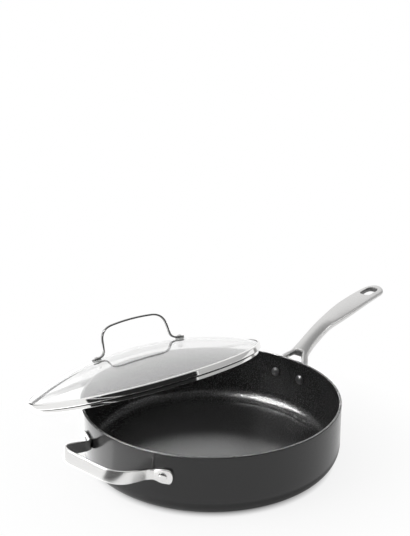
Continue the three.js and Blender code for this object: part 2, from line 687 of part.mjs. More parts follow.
// Screw, soft washer, sleeve, steel washer and cap nut of one foot
function makeFastening({ suffix, side }) {
  const screwEnd = nutTop - SCREW_IN_NUT;
  const screw = turned(
    [
      [0, screwEnd],
      [SCREW_RADIUS, screwEnd],
      [SCREW_RADIUS, headSeat],
      ...domeProfile(SCREW_RADIUS + SCREW_HEAD_OVERHANG, headSeat, SCREW_HEAD_HEIGHT),
    ],
    SMALL_SEGMENTS,
  );
  const washer = tube(screwHole, screwHole + WASHER_WIDTH, washerBottom, washerBottom + WASHER_THICKNESS);
  const flangeBottom = flangeTop - SLEEVE_FLANGE;
  const flangeRadius = sleeveRadius + SLEEVE_FLANGE_WIDTH;
  const sleeve = turned(
    [
      [screwHole, flangeBottom],
      [flangeRadius, flangeBottom],
      [flangeRadius, flangeTop],
      [sleeveRadius, flangeTop],
      [sleeveRadius, -SLEEVE_TOP_SINK],
      [screwHole, -SLEEVE_TOP_SINK],
      [screwHole, flangeBottom],
    ],
    SMALL_SEGMENTS,
  );
  const plate = tube(screwHole, screwHole + PLATE_WIDTH, plateTop - PLATE_THICKNESS, plateTop);
  const nutShape = solidOf(rod(screwHole + NUT_WALL, nutTop - NUT_HEIGHT, nutTop, NUT_SIDES));
  const nut = nutShape.subtract(solidOf(rod(screwHole, screwEnd - FIT_GAP, nutTop + FIT_GAP)));
  const pieces = [
    meshOf(`lid_screw_${suffix}`, solidOf(screw), POLISHED_STEEL),
    meshOf(`lid_washer_${suffix}`, solidOf(washer), SILICONE),
    meshOf(`lid_sleeve_${suffix}`, solidOf(sleeve), SILICONE),
    meshOf(`lid_plate_${suffix}`, solidOf(plate), POLISHED_STEEL),
    meshOf(`lid_nut_${suffix}`, nut, POLISHED_STEEL),
  ];
  const fastening = new THREE.Group();
  fastening.add(...pieces);
  fastening.applyMatrix4(footFrame(side));
  return fastening;
}

// Lean: the skirt's outer edge stands on the table, and its inner edge crosses the rim at two points
function leanFrame() {
  const rimLevel = PAN_HEIGHT + FIT_GAP;
  const tilt = Math.asin(rimLevel / (skirtRadius + LID_CROSSING_OFFSET));
  const turn = radians(LID_AZIMUTH);
  const outward = point(Math.cos(turn), Math.sin(turn), 0);
  const sideways = point(-Math.sin(turn), Math.cos(turn), 0);
  const down = outward.clone().multiplyScalar(Math.cos(tilt)).add(point(0, 0, -Math.sin(tilt)));
  const normal = down.clone().cross(sideways);
  const crossing = Math.sqrt(skirtInnerRadius ** 2 - LID_CROSSING_OFFSET ** 2);
  const centre = outward.multiplyScalar(Math.sqrt(PAN_RADIUS ** 2 - crossing ** 2));
  centre.add(point(0, 0, rimLevel)).addScaledVector(down, LID_CROSSING_OFFSET);
  return new THREE.Matrix4().makeBasis(down, sideways, normal).setPosition(centre);
}

const pan = new THREE.Group();
pan.name = "pan";
pan.add(makePan(), makeLongHandle(), makeHelperHandle(), ...rivets.map(makeRivet));

const lidHandle = new THREE.Group();
lidHandle.rotation.z = radians(LID_HANDLE_TURN);
lidHandle.add(makeLidGlass(), makeLidHandle(), ...feet.map(makeFastening));

const lid = new THREE.Group();
lid.name = "lid";
lid.add(makeLidRim(), lidHandle);
lid.applyMatrix4(leanFrame());

const skillet = new THREE.Group();
skillet.name = "skillet_with_lid";
skillet.add(pan, lid);

export default skillet;
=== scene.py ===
"""Looks of a deep skillet with two handles and a domed glass lid that leans on its rim."""

import math

import bmesh
import bpy
import numpy as np
from mathutils import Matrix, Vector


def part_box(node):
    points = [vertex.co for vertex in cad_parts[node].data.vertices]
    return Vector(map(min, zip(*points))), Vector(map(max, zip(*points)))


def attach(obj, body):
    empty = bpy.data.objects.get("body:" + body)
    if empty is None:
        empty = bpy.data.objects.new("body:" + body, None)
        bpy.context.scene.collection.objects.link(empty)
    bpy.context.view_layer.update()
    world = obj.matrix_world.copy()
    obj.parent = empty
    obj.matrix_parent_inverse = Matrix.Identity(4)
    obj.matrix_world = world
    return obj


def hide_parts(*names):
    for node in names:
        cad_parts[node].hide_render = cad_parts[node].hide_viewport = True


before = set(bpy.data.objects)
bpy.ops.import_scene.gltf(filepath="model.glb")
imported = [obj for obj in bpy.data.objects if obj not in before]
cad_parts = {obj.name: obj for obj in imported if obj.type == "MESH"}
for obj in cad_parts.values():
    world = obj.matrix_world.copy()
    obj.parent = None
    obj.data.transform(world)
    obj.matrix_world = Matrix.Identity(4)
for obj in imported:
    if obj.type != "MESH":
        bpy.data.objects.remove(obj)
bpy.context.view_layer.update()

# Sizes that the frame doesn't give, in metres
WALL = 0.003
FLOOR = 0.005
OUTER_CORNER = 0.023
RIM_EDGE = 0.0007
FILLET_RUN = 0.0138
FILLET_RISE = 0.017
GROOVE_WIDTH = 0.0016
GROOVE_FLAT = 0.00064
GROOVE_DEPTH = 0.0004
FLOOR_DOME = 0.0005
FLOOR_SLOPE = 0.022
HANDLE_CELL = 0.0009
FORK_START = 0.005
FORK_END = 0.022
SLOT_LENGTH = 0.027
SLOT_WIDTH = 0.015
SLOT_END_MARGIN = 0.0115
SLOT_SHIFT = 0.0025
HELPER_STRAP = 0.0032
HELPER_BAR = 0.0145
HELPER_NECK = 0.0122
HELPER_FOOT = 0.0168
HELPER_FOOT_LENGTH = 0.022
HELPER_FOOT_ROUND = 0.0045
HELPER_LEG_INSET = 0.0032
HELPER_LEG_TAPER = 0.001
HELPER_CORNER = 0.023
HELPER_REACH = 0.005
HELPER_HEEL = 0.006
HELPER_HEEL_ROUND = 0.0045
LID_STRAP = 0.0022
LID_STRAP_WIDTH = 0.008
LID_FOOT = 0.012
LID_HEEL_INSET = 0.0111
LID_HANDLE_RISE = 0.0393
LID_SHOULDER_DROP = 0.0045
LID_LEG_LEAN = 0.003
LID_CROWN_ROUND = 0.024
LID_SHOULDER_ROUND = 0.015
LID_HEEL_ROUND = 0.007
BAND_SHEET = 0.001
BAND_LIP = 0.0015
BAND_SEAM = 0.0013
BAND_ROUND = 0.0009
RING_ROUND = 0.0003
NUT_CHAMFER = 0.0004
PATH_STEP = 0.0012
GAP = 0.0003
WELD = 1e-7
NO_RADIUS = 1e-9

# Steps of turned and rounded shapes
PAN_TURNS = 256
LID_TURNS = 240
SMALL_TURNS = 48
NUT_TURNS = 72
CORNER_STEPS = 20
FILLET_STEPS = 24
RIM_STEPS = 6
WALL_STEPS = 8
SLOPE_STEPS = 10
FOOT_STEPS = 20
GLASS_STEPS = 60
EDGE_STEPS = 10
BAND_STEPS = 5
CAP_STEPS = 8

# Rounds of wear on the cast handle, the share of each, and how upright a face in its hollows must be to get
# painted shade
EDGE_WEAR = 5
FORK_WEAR = 12
WEAR_SHARE = 0.5
HOLLOW_TILT = 0.7

# Shares of the slot's length and width in which upright faces are in its hollow and get painted shade
SLOT_REACH = 0.6
SLOT_SPREAD = 0.62

# Shares of a strap's thickness and width that its edges may round, and of a step for the rings near its ends
THICK_ROUND = 0.85
WIDE_ROUND = 0.9
END_SHARES = (0.03, 0.12, 0.3, 0.6)

# Shares of a nut's height for its cap, of its corners past the chamfer, and of its flats for seat and dome
CAP_RISE = 0.45
NUT_CORNERS = 0.9
CAP_SEAT = 0.98
CAP_DOME = 0.92

# Slope of the helper's legs, haze of the glass, and roughness that the pan's floor has beyond its wall
HELPER_TILT = math.radians(14)
GLASS_HAZE = 0.06
FLOOR_DULLNESS = 0.02

# Photograph: image size in pixels, and the camera in the row frame
IMAGE_SIZE = (410, 536)
FOCAL_PIXELS = 987
SENSOR = 36
CAMERA_PLACE = Vector((-0.7901, -0.7066, 0.5652))
CAMERA_AIM = Vector((0.70628, 0.64049, -0.30156))


# Meshes


def cad(node):
    """Corners of a CAD node."""
    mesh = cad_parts[node].data
    corners = np.empty(3 * len(mesh.vertices))
    mesh.vertices.foreach_get("co", corners)
    return corners.reshape(-1, 3)


def make(name, points, faces, materials, body, nodes, indices=None, bend=40):
    """Mesh piece that rides on a body, takes the given materials and stands for CAD nodes."""
    mesh = bpy.data.meshes.new(name)
    mesh.from_pydata([tuple(p) for p in points], [], faces)
    for material in materials:
        mesh.materials.append(material)
    if indices is not None:
        mesh.polygons.foreach_set("material_index", indices)
    work = bmesh.new()
    work.from_mesh(mesh)
    bmesh.ops.remove_doubles(work, verts=work.verts, dist=WELD)
    bmesh.ops.recalc_face_normals(work, faces=work.faces)
    for face in work.faces:
        face.smooth = True
    for edge in work.edges:
        edge.smooth = len(edge.link_faces) == 2 and edge.calc_face_angle(0) < math.radians(bend)
    work.to_mesh(mesh)
    work.free()
    made = bpy.data.objects.new(name, mesh)
    bpy.context.scene.collection.objects.link(made)
    return settle(made, body, nodes)


def settle(made, body, nodes):
    """A piece in place: what it rides on and the CAD nodes that it stands for."""
    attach(made, body)
    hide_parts(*nodes)
    return made


def turned(profile, turns, closed=False):
    """Points and faces of a profile of (radius, height) pairs turned about Z."""
    count = len(profile)
    points, faces = [], []
    for k in range(turns):
        angle = 2 * math.pi * k / turns
        points += [(r * math.cos(angle), r * math.sin(angle), z) for r, z in profile]
    rows = []
    for i in range(count if closed else count - 1):
        j = (i + 1) % count
        for k in range(turns):
            a, b = k * count, (k + 1) % turns * count
            face = [a + i, b + i, b + j, a + j]
            if profile[i][0] < NO_RADIUS:
                face = [a + i, b + j, a + j]
            elif profile[j][0] < NO_RADIUS:
                face = [a + i, b + i, a + j]
            faces.append(face)
            rows.append(i)
    return np.array(points), faces, rows


def arc(x, y, run, rise, start, end, steps):
    """Points of an elliptic arc from one angle to another, in degrees."""
    angles = np.radians(np.linspace(start, end, steps + 1))
    return [(x + run * math.cos(a), y + rise * math.sin(a)) for a in angles]


def soft(corners, radius, steps=4):
    """Closed profile with every corner rounded."""
    points = []
    for i, corner in enumerate(corners):
        corner = np.array(corner, float)
        ends = []
        for other in (corners[i - 1], corners[(i + 1) % len(corners)]):
            side = np.array(other, float) - corner
            length = np.linalg.norm(side)
            ends.append(corner + side / length * min(radius, 0.45 * length))
        for t in np.linspace(0, 1, steps + 1):
            points.append(tuple((1 - t) ** 2 * ends[0] + 2 * t * (1 - t) * corner + t**2 * ends[1]))
    return points


def moved(points, matrix):
    """Points through a matrix."""
    m = np.array(matrix)
    return np.asarray(points) @ m[:3, :3].T + m[:3, 3]


def local(node, matrix):
    """Radii and heights of a CAD node's corners about the Z axis of a matrix."""
    points = moved(cad(node), matrix.inverted())
    return np.hypot(points[:, 0], points[:, 1]), points[:, 2]


def levels(heights):
    """Different heights among corners, lowest first."""
    return np.unique(np.round(heights, 5))


def basis(x, y, z, origin):
    """Matrix with these axes and origin."""
    return Matrix([(x[i], y[i], z[i], origin[i]) for i in range(3)] + [(0, 0, 0, 1)])


def rounded_path(corners, distances, steps=14):
    """Path through corners, each inner corner rounded by a curve."""
    path = [corners[0]]
    for before, corner, after, distance in zip(corners, corners[1:], corners[2:], distances):
        start = corner + (before - corner) / np.linalg.norm(before - corner) * distance
        end = corner + (after - corner) / np.linalg.norm(after - corner) * distance
        for t in np.linspace(0, 1, steps + 1):
            path.append((1 - t) ** 2 * start + 2 * t * (1 - t) * corner + t**2 * end)
    path.append(corners[-1])
    return path


def even_path(path, step):
    """Path resampled at even steps, with finer steps at both ends, and the distance along it."""
    path = np.array(path)
    lengths = np.concatenate([[0], np.cumsum(np.linalg.norm(np.diff(path, axis=0), axis=1))])
    total = lengths[-1]
    ends = step * np.array(END_SHARES)
    inner = np.linspace(step, total - step, int(total / step))
    at = np.concatenate([ends, inner, total - ends[::-1]])
    return np.stack([np.interp(at, lengths, path[:, i]) for i in range(3)], 1), at, total


def tube(rings, count):
    """Faces of a closed tube through rings of points, with both ends first."""
    faces = [list(range(count)), list(range((rings - 1) * count, rings * count))]
    for k in range(rings - 1):
        for i in range(count):
            j = (i + 1) % count
            faces.append([k * count + i, k * count + j, (k + 1) * count + j, (k + 1) * count + i])
    return faces


def strap(path, widths, thickness, across, corner_steps=5):
    """Points and faces of a strap with rounded edges along a path."""
    along = np.gradient(path, axis=0)
    along /= np.linalg.norm(along, axis=1)[:, None]
    face = np.cross(along, across)
    face /= np.linalg.norm(face, axis=1)[:, None]
    wide = np.cross(face, along)
    rings = []
    for place, w, t, width in zip(path, wide, face, widths):
        half, thick = width / 2, thickness / 2
        edge = min(THICK_ROUND * thick, WIDE_ROUND * half)
        outline = []
        for sx, sy, start in ((1, 1, 0), (-1, 1, 90), (-1, -1, 180), (1, -1, 270)):
            middle = sx * (half - edge), sy * (thick - edge)
            outline += arc(*middle, edge, edge, start, start + 90, corner_steps)
        rings.append([place + a * w + b * t for a, b in outline])
    return np.concatenate(rings), tube(len(rings), len(rings[0]))


def round_end(distance, length, width):
    """Width of a strap's round end at distances from that end."""
    share = np.clip(1 - distance / length, 0, 1)
    return width * np.sqrt(1 - share**2)


def ease(value):
    """Smooth step from 0 to 1."""
    t = np.clip(value, 0, 1)
    return t * t * (3 - 2 * t)


def mix(a, b, share):
    """Value between two others."""
    return a + (b - a) * share


# Materials


def finish(name, **sockets):
    """Material with a Principled shader whose plain sockets are set, and its node tree."""
    made = bpy.data.materials.new(name)
    made.use_nodes = True
    shader = made.node_tree.nodes["Principled BSDF"]
    for socket, value in sockets.items():
        shader.inputs[socket.replace("_", " ")].default_value = value
    return made, made.node_tree, shader


def add(tree, kind, inputs=None, **settings):
    """Node with its settings, and values or links for its inputs."""
    made = tree.nodes.new(kind)
    for key, value in settings.items():
        setattr(made, key, value)
    for key, value in (inputs or {}).items():
        if isinstance(value, bpy.types.NodeSocket):
            tree.links.new(value, made.inputs[key])
        else:
            made.inputs[key].default_value = value
    return made


def grain(tree, scale, stretch=(1, 1, 1), detail=3.0, roughness=0.5):
    """Noise over the object's own coordinates."""
    place = add(tree, "ShaderNodeTexCoord").outputs["Object"]
    mapped = add(tree, "ShaderNodeMapping", {"Vector": place, "Scale": stretch}).outputs["Vector"]
    inputs = {"Vector": mapped, "Scale": scale, "Detail": detail, "Roughness": roughness}
    return add(tree, "ShaderNodeTexNoise", inputs).outputs["Fac"]


def ranged(tree, value, low, high, start=0.0, end=1.0):
    """Value spread from one range to another."""
    inputs = {"Value": value, "From Min": start, "From Max": end, "To Min": low, "To Max": high}
    return add(tree, "ShaderNodeMapRange", inputs).outputs["Result"]


def reckon(tree, operation, first, second):
    """Value of a sum with two values."""
    return add(tree, "ShaderNodeMath", {0: first, 1: second}, operation=operation).outputs[0]


def ramp(tree, value, stops):
    """Colours along a value."""
    made = add(tree, "ShaderNodeValToRGB", {"Fac": value})
    marks = made.color_ramp.elements
    while len(marks) < len(stops):
        marks.new(0.5)
    for mark, (place, colour) in zip(marks, stops):
        mark.position = place
        mark.color = (*colour, 1)
    return made.outputs["Color"]


def bump(tree, shader, height, strength, distance):
    """Small relief on a shader."""
    inputs = {"Height": height, "Strength": strength, "Distance": distance}
    tree.links.new(add(tree, "ShaderNodeBump", inputs).outputs["Normal"], shader.inputs["Normal"])


def grey(level):
    """Colour without a hue."""
    return (level, level, level)


def anodised():
    """Matt dark skin of the pan's outside."""
    made, tree, shader = finish("hard_anodised", IOR=1.5)
    tone = ramp(tree, grain(tree, 9), [(0.3, (0.007, 0.007, 0.0072)), (0.7, (0.01, 0.01, 0.0102))])
    tree.links.new(tone, shader.inputs["Base Color"])
    tree.links.new(ranged(tree, grain(tree, 160), low=0.13, high=0.2), shader.inputs["Roughness"])
    bump(tree, shader, grain(tree, 2600, detail=2), strength=0.06, distance=0.0001)
    return made


def coating():
    """Dark non-stick coat with pale flecks, a little duller on the floor."""
    made, tree, shader = finish("speckled_coating", IOR=1.4)
    stops = [(0.0, grey(0.006)), (0.55, grey(0.01)), (0.66, grey(0.045))]
    flecks = ramp(tree, grain(tree, 900, detail=1), stops)
    tree.links.new(flecks, shader.inputs["Base Color"])
    place = add(tree, "ShaderNodeTexCoord").outputs["Object"]
    height = add(tree, "ShaderNodeSeparateXYZ", {"Vector": place}).outputs["Z"]
    dull = ranged(tree, height, FLOOR_DULLNESS, 0.0, FLOOR + FLOOR_DOME, FLOOR + FILLET_RISE / 3)
    even = ranged(tree, grain(tree, 500), low=0.19, high=0.23)
    tree.links.new(reckon(tree, "ADD", even, dull), shader.inputs["Roughness"])
    bump(tree, shader, grain(tree, 900, detail=0), strength=0.09, distance=0.0003)
    return made


def steel(name, tone, rough, scale, stretch=(1, 1, 1), contrast=0.06, relief=0.0):
    """Metal with fine lines or grains that change its tone and roughness."""
    made, tree, shader = finish(name, Metallic=1.0)
    lines = grain(tree, scale, stretch=stretch, detail=4, roughness=0.6)
    light = (tone, 0.995 * tone, 0.985 * tone)
    dim = tuple((1 - contrast) * c for c in light)
    tree.links.new(ramp(tree, lines, [(0.25, dim), (0.75, light)]), shader.inputs["Base Color"])
    tree.links.new(ranged(tree, lines, *rough, 0.3, 0.7), shader.inputs["Roughness"])
    if relief:
        bump(tree, shader, lines, strength=relief, distance=0.0001)
    return made


def coated_rivet():
    """Dark coat of the long handle's rivets."""
    made, tree, shader = finish("coated_rivet", IOR=1.5)
    tone = ramp(tree, grain(tree, 1700, detail=1), [(0.4, grey(0.03)), (0.7, grey(0.05))])
    tree.links.new(tone, shader.inputs["Base Color"])
    tree.links.new(ranged(tree, grain(tree, 800), low=0.3, high=0.36), shader.inputs["Roughness"])
    return made


def clear_glass():
    """Clear glass with a bright surface, a little haze and a light shadow."""
    made, tree, shader = finish(
        "clear_glass",
        Base_Color=(*grey(0.99), 1),
        Roughness=0.0,
        IOR=1.7,
        Transmission_Weight=1.0,
        Coat_Weight=1.0,
        Coat_IOR=1.7,
        Coat_Roughness=0.0,
    )
    haze = add(tree, "ShaderNodeBsdfDiffuse", {"Color": (*grey(0.95), 1)}).outputs[0]
    veiled = add(tree, "ShaderNodeMixShader", {0: GLASS_HAZE, 1: shader.outputs[0], 2: haze}).outputs[0]
    ray = add(tree, "ShaderNodeLightPath").outputs["Is Shadow Ray"]
    clear = add(tree, "ShaderNodeBsdfTransparent", {"Color": (*grey(0.92), 1)}).outputs[0]
    both = add(tree, "ShaderNodeMixShader", {0: ray, 1: veiled, 2: clear}).outputs[0]
    tree.links.new(both, tree.nodes["Material Output"].inputs["Surface"])
    return made


def silicone():
    """Milky soft seal."""
    made, tree, shader = finish("silicone", IOR=1.43)
    tone = ramp(tree, grain(tree, 120), [(0.3, (0.5, 0.51, 0.5)), (0.7, (0.6, 0.61, 0.6))])
    tree.links.new(tone, shader.inputs["Base Color"])
    tree.links.new(ranged(tree, grain(tree, 900), low=0.45, high=0.6), shader.inputs["Roughness"])
    return made


ANODISED = anodised()
COATING = coating()
BARE_EDGE = steel("bare_edge", tone=0.05, rough=(0.25, 0.36), scale=200, stretch=(1, 1, 30), contrast=0.15)
SATIN = steel(
    "satin_steel", tone=0.7, rough=(0.26, 0.34), scale=60, stretch=(0.5, 40, 40), contrast=0.08, relief=0.015
)
# Painted shade: a darker, rougher copy of the handle's steel for the upright faces in the slot and in the
# fork's hollow
HOLLOW_SHADE = steel("painted_hollow_shade", tone=0.22, rough=(0.45, 0.55), scale=900, contrast=0.2, relief=0.05)
LID_SATIN = steel("lid_handle_steel", tone=0.26, rough=(0.14, 0.2), scale=900)
POLISHED = steel("polished_steel", tone=0.84, rough=(0.05, 0.08), scale=1500, contrast=0.04)
HELPER_STEEL = steel("helper_steel", tone=0.82, rough=(0.2, 0.24), scale=700)
RIVET_METAL = steel("polished_rivet", tone=0.8, rough=(0.1, 0.16), scale=1500)
# Painted shade: a near-black copy of the steel for the recess below the lid band's hem
SEAM_PAINTED_SHADE = steel("painted_seam_shade", tone=0.04, rough=(0.4, 0.5), scale=1500, contrast=0.2)
COATED_RIVET = coated_rivet()
GLASS = clear_glass()
SILICONE = silicone()

# Pan

_, pan_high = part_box("pan_body")
RADIUS = pan_high.x
HEIGHT = pan_high.z
inner = RADIUS - WALL
groove = inner - FILLET_RUN - GROOVE_WIDTH / 2
_, handle_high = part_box("long_handle")
slot_middle = handle_high.x - SLOT_END_MARGIN - SLOT_LENGTH / 2


def make_pan():
    """Pan with a skin outside, a bare edge on its rim, and a coat and a grooved floor inside."""
    outside = [(0, 0), (RADIUS / 2, 0)]
    outside += arc(RADIUS - OUTER_CORNER, OUTER_CORNER, OUTER_CORNER, OUTER_CORNER, -90, 0, CORNER_STEPS)
    outside += [(RADIUS, z) for z in np.linspace(OUTER_CORNER, HEIGHT - RIM_EDGE, WALL_STEPS)[1:-1]]
    rim = arc(RADIUS - RIM_EDGE, HEIGHT - RIM_EDGE, RIM_EDGE, RIM_EDGE, 0, 90, RIM_STEPS)
    rim += arc(inner + RIM_EDGE, HEIGHT - RIM_EDGE, RIM_EDGE, RIM_EDGE, 90, 180, RIM_STEPS)
    inside = [(inner, z) for z in np.linspace(HEIGHT - RIM_EDGE, FLOOR + FILLET_RISE, WALL_STEPS)[1:-1]]
    inside += arc(inner - FILLET_RUN, FLOOR + FILLET_RISE, FILLET_RUN, FILLET_RISE, 0, -90, FILLET_STEPS)
    inside += [(groove + side * GROOVE_FLAT / 2, FLOOR - GROOVE_DEPTH) for side in (1, -1)]
    edge = groove - GROOVE_WIDTH / 2
    for share in np.linspace(0, 1, SLOPE_STEPS):
        inside.append((edge - FLOOR_SLOPE * share, FLOOR + FLOOR_DOME * math.sin(share * math.pi / 2)))
    inside += [(r, FLOOR + FLOOR_DOME) for r in np.linspace(edge - FLOOR_SLOPE, 0, WALL_STEPS)[1:]]
    points, faces, rows = turned(outside + rim + inside, PAN_TURNS)
    edge_start = len(outside) + RIM_STEPS // 2
    edge_end = len(outside) + RIM_STEPS + 1 + RIM_STEPS // 3
    indices = [2 if i >= edge_end else 1 if i >= edge_start else 0 for i in rows]
    materials = [ANODISED, BARE_EDGE, COATING]
    return make("skillet_pan", points, faces, materials, "pan", ["pan_body"], indices)


def rivet_frame(node):
    """Frame of a rivet: Z outwards along its shank, origin on the pan's axis at its height."""
    middle = cad(node).mean(0)
    out = np.array([middle[0], middle[1], 0])
    out /= np.linalg.norm(out)
    side = np.cross([0, 0, 1], out)
    return basis(side, np.cross(out, side), out, (0, 0, middle[2]))


def dome(radius, base, height, steps=10):
    """Low dome from its edge to its crown."""
    angles = np.linspace(0, math.pi / 2, steps)
    return [(max(radius * math.cos(a), 0), base + height * math.sin(a)) for a in angles]


def make_rivet(node, material):
    """Rivet with a low dome inside and outside of the wall."""
    matrix = rivet_frame(node)
    radii, heights = local(node, matrix)
    marks = levels(heights)
    inner_seat = marks[marks < inner][-1]
    outer_seat = marks[marks > RADIUS][0]
    inner_head = radii[heights < inner_seat + GAP].max()
    outer_head = radii[heights > outer_seat - GAP].max()
    shank = radii[(radii > GAP) & (heights > inner_seat - GAP) & (heights < outer_seat + GAP)].min()
    profile = dome(inner_head, inner_seat, marks[0] - inner_seat)[::-1]
    profile += [(shank, inner_seat), (shank, outer_seat)]
    profile += dome(outer_head, outer_seat, marks[-1] - outer_seat)
    points, faces, _ = turned(profile, SMALL_TURNS)
    return make(node + "_head", moved(points, matrix), faces, [material], "pan", [node])


def fine_skin(node, cell):
    """Points, edges and faces of an even skin over a CAD node."""
    rough = bpy.data.objects.new(node + "_rough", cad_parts[node].data.copy())
    bpy.context.scene.collection.objects.link(rough)
    skin = rough.modifiers.new("skin", "REMESH")
    skin.mode = "VOXEL"
    skin.voxel_size = cell
    graph = bpy.context.evaluated_depsgraph_get()
    mesh = rough.evaluated_get(graph).to_mesh()
    points = np.array([v.co for v in mesh.vertices])
    edges = np.array([e.vertices for e in mesh.edges])
    faces = [list(f.vertices) for f in mesh.polygons]
    bpy.data.objects.remove(rough)
    return points, edges, faces


def worn(points, edges, shares):
    """Points moved towards their neighbours, once for each row of shares."""
    count = np.bincount(edges.ravel(), minlength=len(points))[:, None]
    for share in shares:
        total = np.zeros_like(points)
        np.add.at(total, edges[:, 0], points[edges[:, 1]])
        np.add.at(total, edges[:, 1], points[edges[:, 0]])
        points = mix(points, total / count, share[:, None])
    return points


def shift_slot(points):
    """Points round the hanging slot, moved towards the handle's end."""
    along = points[:, 0] - slot_middle
    reach = SLOT_LENGTH / 2
    fade = np.clip((2 * reach - np.abs(along)) / reach, 0, 1)
    spread = np.clip((SLOT_WIDTH - np.abs(points[:, 1])) / (SLOT_WIDTH / 2), 0, 1)
    points[:, 0] += SLOT_SHIFT * fade * spread
    return points


def make_long_handle():
    """Cast handle with worn edges, a round fork, and painted shade on the upright faces in its hollows."""
    points, edges, faces = fine_skin("long_handle", HANDLE_CELL)
    fork = ease((points[:, 0] - RADIUS - FORK_START) / FORK_START)
    fork *= 1 - ease((points[:, 0] - RADIUS - FORK_END) / FORK_END)
    shares = [np.full(len(points), WEAR_SHARE)] * EDGE_WEAR + [WEAR_SHARE * fork] * FORK_WEAR
    points = shift_slot(worn(points, edges, shares))
    corners = points[np.array([f[:3] for f in faces])]
    middles = points[np.array([[f[0], f[2]] for f in faces])].mean(1)
    facing = np.cross(corners[:, 1] - corners[:, 0], corners[:, 2] - corners[:, 1])
    facing /= np.linalg.norm(facing, axis=1)[:, None] + 1e-12
    upright = np.abs(facing[:, 2]) < HOLLOW_TILT
    beside = np.abs(middles[:, 1])
    from_slot = np.abs(middles[:, 0] - slot_middle - SLOT_SHIFT)
    in_slot = (from_slot < SLOT_LENGTH * SLOT_REACH) & (beside < SLOT_WIDTH * SLOT_SPREAD)
    beyond = middles[:, 0] - RADIUS
    in_fork = (beyond > 2 * FORK_START) & (beyond < 2 * FORK_END) & (beside < 2 * FORK_START)
    # Upright faces in the slot, and those in the fork that face the pan, get the painted shade
    hollow = upright & (in_slot | (in_fork & (facing[:, 0] < -HOLLOW_TILT / 2)))
    indices = hollow.astype(int)
    return make("cast_handle", points, faces, [SATIN, HOLLOW_SHADE], "pan", ["long_handle"], indices)


def make_helper():
    """Bent strap with two feet on the wall."""
    low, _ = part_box("helper_handle")
    rivet = cad("helper_rivet_left").mean(0)
    foot_radius = RADIUS + GAP + HELPER_STRAP / 2
    middle = math.atan2(rivet[1], -rivet[0])
    half = HELPER_FOOT_LENGTH / 2 / foot_radius
    turns = math.degrees(middle + half), math.degrees(middle - half)
    foot = arc(0, 0, foot_radius, foot_radius, *turns, FOOT_STEPS)
    heel_reach, heel_spread = foot[-1]
    leg = heel_spread - HELPER_LEG_INSET
    bar_reach = HELPER_REACH - low.x - HELPER_STRAP / 2

    def place(reach, spread):
        """Place at a reach from the pan's axis and a spread from the middle, on the helper's slope."""
        return np.array([-reach, spread, rivet[2] + max(reach - heel_reach, 0) * math.tan(HELPER_TILT)])

    near = [place(*p) for p in foot]
    corners = [near[-1], place(heel_reach + HELPER_HEEL, leg), place(bar_reach, leg - HELPER_LEG_TAPER)]
    flip = np.array([1, -1, 1])
    corners += [c * flip for c in corners[::-1]]
    bend = rounded_path(corners, [HELPER_HEEL_ROUND, HELPER_CORNER, HELPER_CORNER, HELPER_HEEL_ROUND])
    path, at, total = even_path(near[:-1] + bend + [p * flip for p in near[-2::-1]], PATH_STEP)
    end = np.minimum(at, total - at)
    wide = round_end(end, HELPER_FOOT_ROUND, HELPER_FOOT)
    wide = mix(wide, HELPER_NECK, ease((end - HELPER_FOOT_LENGTH / 2) / (HELPER_FOOT_LENGTH / 2)))
    wide = mix(wide, HELPER_BAR, ease((end - HELPER_FOOT_LENGTH) / (bar_reach - RADIUS)))
    lean = ease((-path[:, 0] - heel_reach) / HELPER_HEEL) * HELPER_TILT
    across = np.stack([np.sin(lean), 0 * lean, np.cos(lean)], 1)
    points, faces = strap(path, wide, HELPER_STRAP, across)
    return make("helper_strap", points, faces, [HELPER_STEEL], "pan", ["helper_handle"])


pan_piece = make_pan()
make_long_handle()
make_helper()
dark_pieces = [pan_piece]
for side in ("left", "right"):
    dark_pieces.append(make_rivet(f"handle_rivet_{side}", COATED_RIVET))
    make_rivet(f"helper_rivet_{side}", RIVET_METAL)

# Lid


def lid_frame():
    """Frame of the lid: Z up its axis, X along its handle, origin at the lower edge of its skirt."""
    rim = cad("lid_rim")
    middle = rim.mean(0)
    axis = np.linalg.svd(rim - middle, full_matrices=False)[2][2]
    axis *= np.sign(axis[2])
    along = cad("lid_screw_left").mean(0) - cad("lid_screw_right").mean(0)
    along -= axis * (along @ axis)
    along /= np.linalg.norm(along)
    return basis(along, np.cross(axis, along), axis, middle + axis * ((rim - middle) @ axis).min())


LID = lid_frame()
band_radii, band_heights = local("lid_rim", LID)
glass_radii, glass_heights = local("lid_glass", LID)
band_radius = band_radii.max()
skirt_radius = band_radii[band_heights < GAP].max()
skirt_depth = levels(band_heights[band_radii > skirt_radius + GAP])[0]
glass_radius = glass_radii.max()
glass_edge = glass_heights[glass_radii > glass_radius - GAP]
glass_top = glass_heights.max()
dome_rise = glass_top - glass_edge.max()
dome_radius = (glass_radius**2 + dome_rise**2) / (2 * dome_rise)
dome_middle = glass_top - dome_radius
glass_thickness = glass_top - glass_heights[glass_radii < GAP].min()


def on_glass(radius, depth=0.0):
    """Height of the glass at a radius, at a depth below its upper face."""
    return dome_middle + math.sqrt((dome_radius - depth) ** 2 - radius**2)


def make_glass():
    """Dome of even thickness with a round edge."""
    edge_run = glass_thickness / 4
    radii = np.linspace(0, glass_radius - edge_run, GLASS_STEPS)
    under = [(r, on_glass(r, glass_thickness)) for r in radii]
    over = [(r, on_glass(r)) for r in radii]
    edge_low, edge_high = under[-1][1], over[-1][1]
    edge_rise = (edge_high - edge_low) / 2
    edge = arc(radii[-1], (edge_low + edge_high) / 2, edge_run, edge_rise, -90, 90, EDGE_STEPS)
    points, faces, _ = turned(under + edge[1:-1] + over[::-1], LID_TURNS)
    return make("lid_dome", moved(points, LID), faces, [GLASS], "lid", ["lid_glass"])


